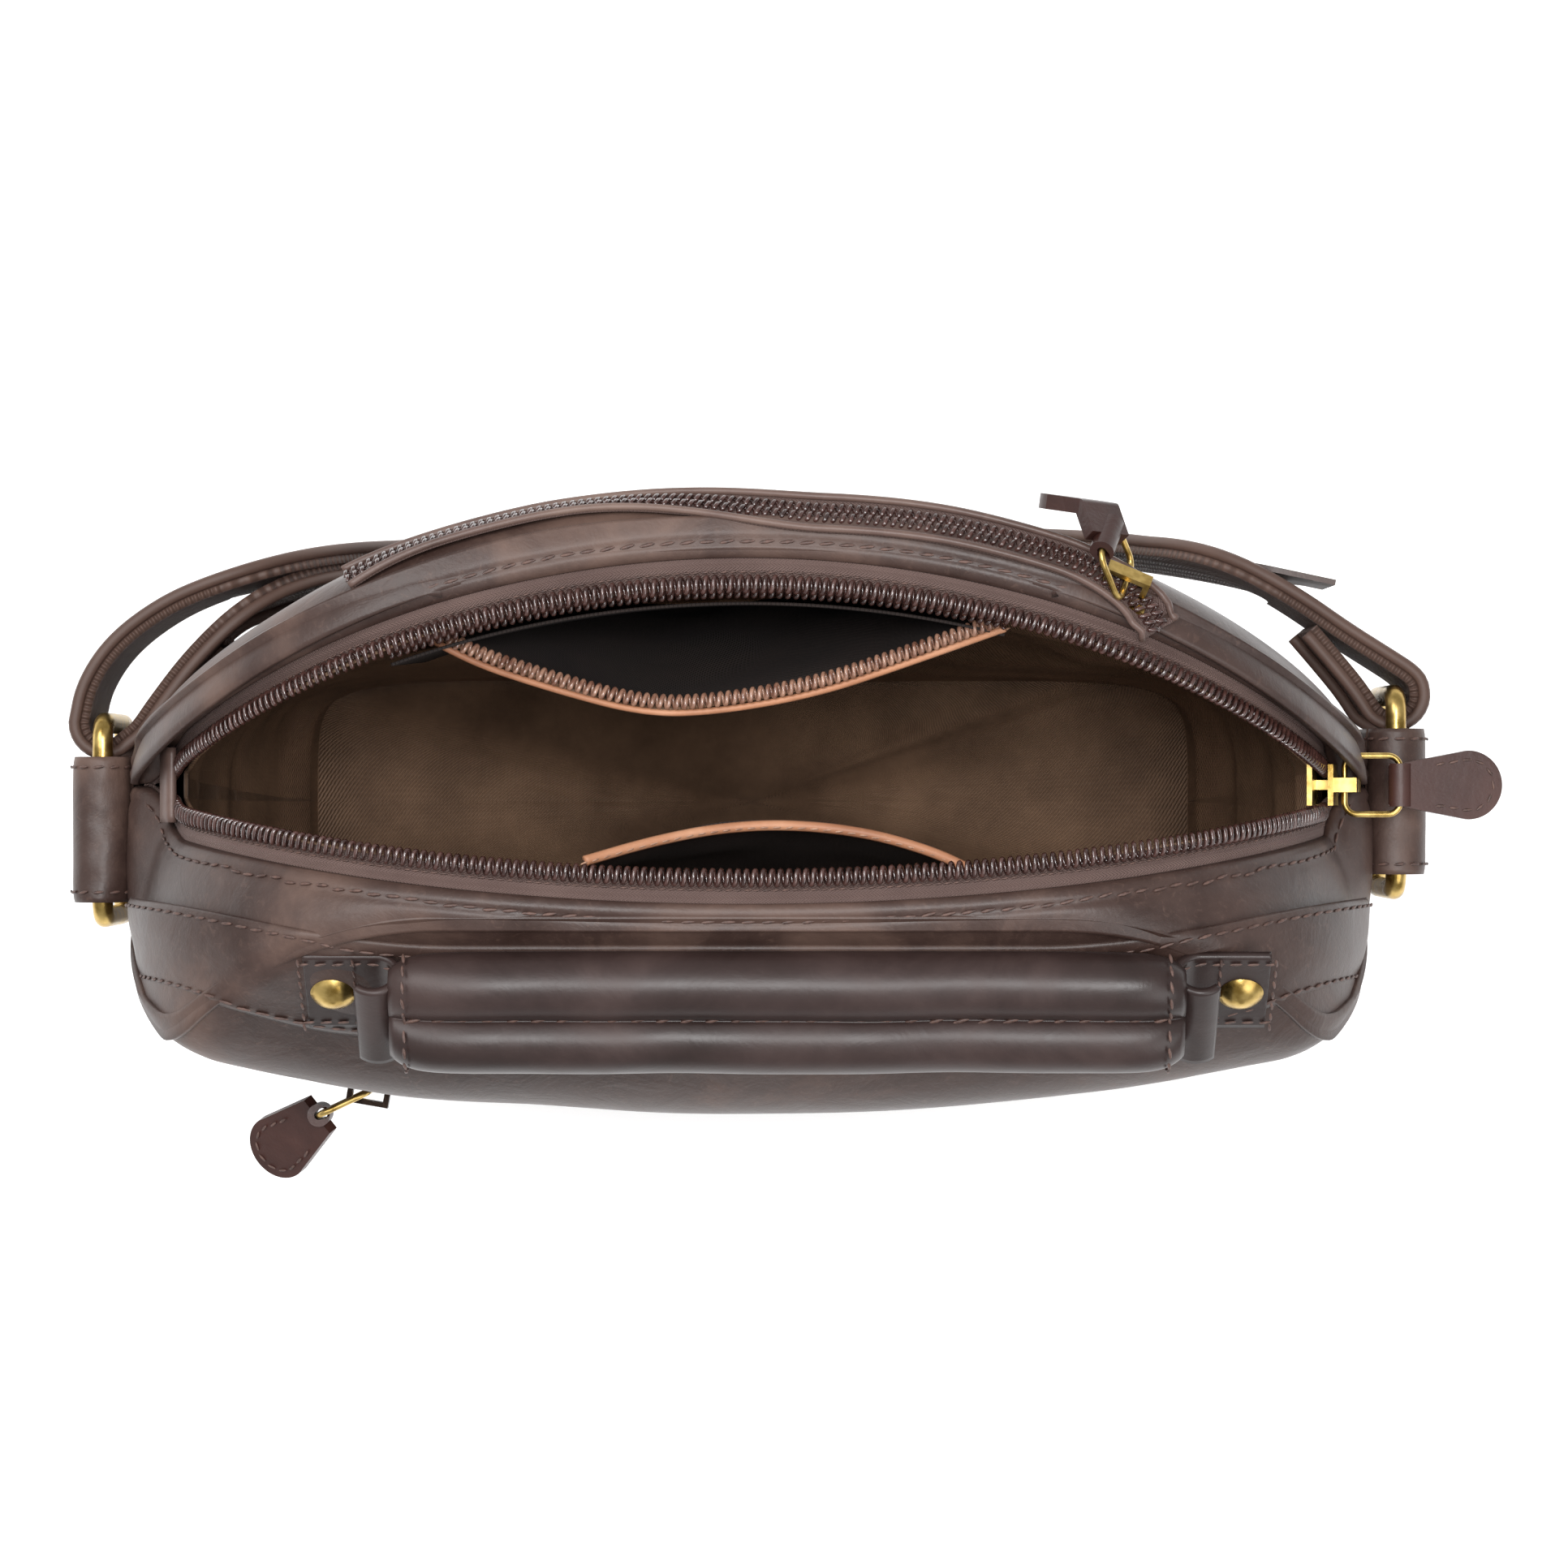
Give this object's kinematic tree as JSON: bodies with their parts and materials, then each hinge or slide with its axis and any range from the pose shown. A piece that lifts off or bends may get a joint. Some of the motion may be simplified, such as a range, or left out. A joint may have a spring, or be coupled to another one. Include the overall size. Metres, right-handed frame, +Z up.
{
  "type": "crossbody bag",
  "caption": "Upright leather crossbody bag with a zipped main compartment, two outside zip pockets, a padded grab handle and a webbing shoulder strap on rings.",
  "frame": {"origin": "on the flat base, under the middle of the bag", "axes": "+Z up through the mouth, -Y the front with the grab handle, +X to the right of that front"},
  "size_m": [0.3028, 0.1502, 0.2087],
  "materials": {
    "panel_leather": "dark brown pull-up leather, waxed, satin",
    "handle_leather": "smooth dark brown leather, satin",
    "pull_leather": "dark reddish brown leather",
    "tan_leather": "thin tan leather edging",
    "lining_cloth": "brown twill lining",
    "pocket_cloth": "dark brown pocket cloth",
    "zip_tape": "woven zip tape",
    "zip_coil": "dark brown polyester coil",
    "webbing": "brown polyester webbing",
    "padding": "foam cord padding",
    "stiffener": "black stiffener board",
    "antique_brass": "antique brass, brushed and lacquered"
  },
  "bodies": {
    "bag": {"rear_panel": "panel_leather", "front_panel": "panel_leather", "front_yoke": "panel_leather", "base_panel": "panel_leather", "gusset_left": "panel_leather", "gusset_right": "panel_leather", "top_strip_rear": "panel_leather", "top_strip_front": "panel_leather", "main_tape_rear": "zip_tape", "main_tape_front": "zip_tape", "main_coil_rear": "zip_coil", "main_coil_front": "zip_coil", "main_zip_stop": "panel_leather", "rear_zip_tape": "zip_tape", "rear_zip_chain": "zip_coil", "rear_pocket_bag": "pocket_cloth", "front_zip_tape": "zip_tape", "front_zip_chain": "zip_coil", "front_pocket_bag": "pocket_cloth", "base_board": "stiffener", "ring_tab_left": "panel_leather", "ring_tab_right": "panel_leather", "handle_loop_left": "handle_leather", "handle_loop_right": "handle_leather", "handle_rivets": "antique_brass", "lining": "lining_cloth", "inner_pocket_cloth": "lining_cloth", "inner_pocket_trim": "tan_leather", "inner_zip_front": "zip_coil", "inner_zip_rear": "zip_coil", "slip_pocket_cloth": "lining_cloth", "slip_pocket_trim": "tan_leather"},
    "main_slider": {"main_slider": "antique_brass"},
    "main_bail": {"main_bail": "antique_brass"},
    "main_pull": {"main_pull": "pull_leather"},
    "rear_slider": {"rear_slider": "antique_brass"},
    "rear_bail": {"rear_bail": "antique_brass"},
    "rear_pull": {"rear_pull": "pull_leather"},
    "front_slider": {"front_slider": "antique_brass"},
    "front_bail": {"front_bail": "antique_brass"},
    "front_pull": {"front_pull": "pull_leather"},
    "ring_left": {"ring_left": "antique_brass"},
    "ring_right": {"ring_right": "antique_brass"},
    "strap": {"strap_webbing": "webbing", "strap_patch": "panel_leather"},
    "strap_adjuster": {"strap_adjuster": "antique_brass"},
    "handle": {"handle_cover": "handle_leather", "handle_padding": "padding"}
  },
  "joints": [
    {"name": "main_zip_travel", "type": "hinge", "parent": "bag", "child": "main_slider", "pos_m": [0.053, 0.004, 0.1292], "axis": [0, 1, 0], "range_deg": [-77, 0]},
    {"name": "main_bail_swing", "type": "hinge", "parent": "main_slider", "child": "main_bail", "pos_m": [0.12499, 0.004, 0.1445], "axis": [0, 1, 0], "range_deg": [-60, 6]},
    {"name": "main_pull_swing", "type": "hinge", "parent": "main_bail", "child": "main_pull", "pos_m": [0.13669, 0.004, 0.14409], "axis": [0, 1, 0], "range_deg": [-40, 45]},
    {"name": "rear_zip_travel", "type": "hinge", "parent": "bag", "child": "rear_slider", "pos_m": [0, -0.138, 0.195], "axis": [0, 0, 1], "range_deg": [0, 44]},
    {"name": "rear_bail_swing", "type": "hinge", "parent": "rear_slider", "child": "rear_bail", "pos_m": [0.0755, 0.04428, 0.1973], "axis": [0.2706, 0.6533, -0.7071], "range_deg": [-12, 40]},
    {"name": "rear_pull_swing", "type": "hinge", "parent": "rear_bail", "child": "rear_pull", "pos_m": [0.07134, 0.05306, 0.20382], "axis": [0.2706, 0.6533, -0.7071], "range_deg": [-9, 9]},
    {"name": "front_zip_travel", "type": "hinge", "parent": "bag", "child": "front_slider", "pos_m": [0, 0.414, 0.112], "axis": [0, 0, 1], "range_deg": [0, 19.6]},
    {"name": "front_bail_swing", "type": "hinge", "parent": "front_slider", "child": "front_bail", "pos_m": [-0.08225, -0.0622, 0.112], "axis": [0, 0, -1], "range_deg": [-80, 8]},
    {"name": "front_pull_swing", "type": "hinge", "parent": "front_bail", "child": "front_pull", "pos_m": [-0.09284, -0.06718, 0.112], "axis": [0, 0, -1], "range_deg": [-40, 30]},
    {"name": "ring_left_swing", "type": "hinge", "parent": "bag", "child": "ring_left", "pos_m": [-0.138, -0.0035, 0.126], "axis": [0, 1, 0], "range_deg": [-4, 12]},
    {"name": "ring_right_swing", "type": "hinge", "parent": "bag", "child": "ring_right", "pos_m": [0.138, 0.0025, 0.126], "axis": [0, -1, 0], "range_deg": [-4, 12]},
    {"name": "strap_swing", "type": "hinge", "parent": "bag", "child": "strap", "pos_m": [0, 0.0203, 0.1082], "axis": [1, 0, 0], "range_deg": [0, 40], "deforming": ["strap_webbing", "strap_patch"]},
    {"name": "adjuster_travel", "type": "hinge", "parent": "strap", "child": "strap_adjuster", "pos_m": [0, -0.27182, 0.0174], "axis": [0, 0, 1], "range_deg": [0, 14.6]},
    {"name": "handle_lift", "type": "slide", "parent": "bag", "child": "handle", "axis": [0, 0, 1], "range_m": [0, 0.018]}
  ]
}
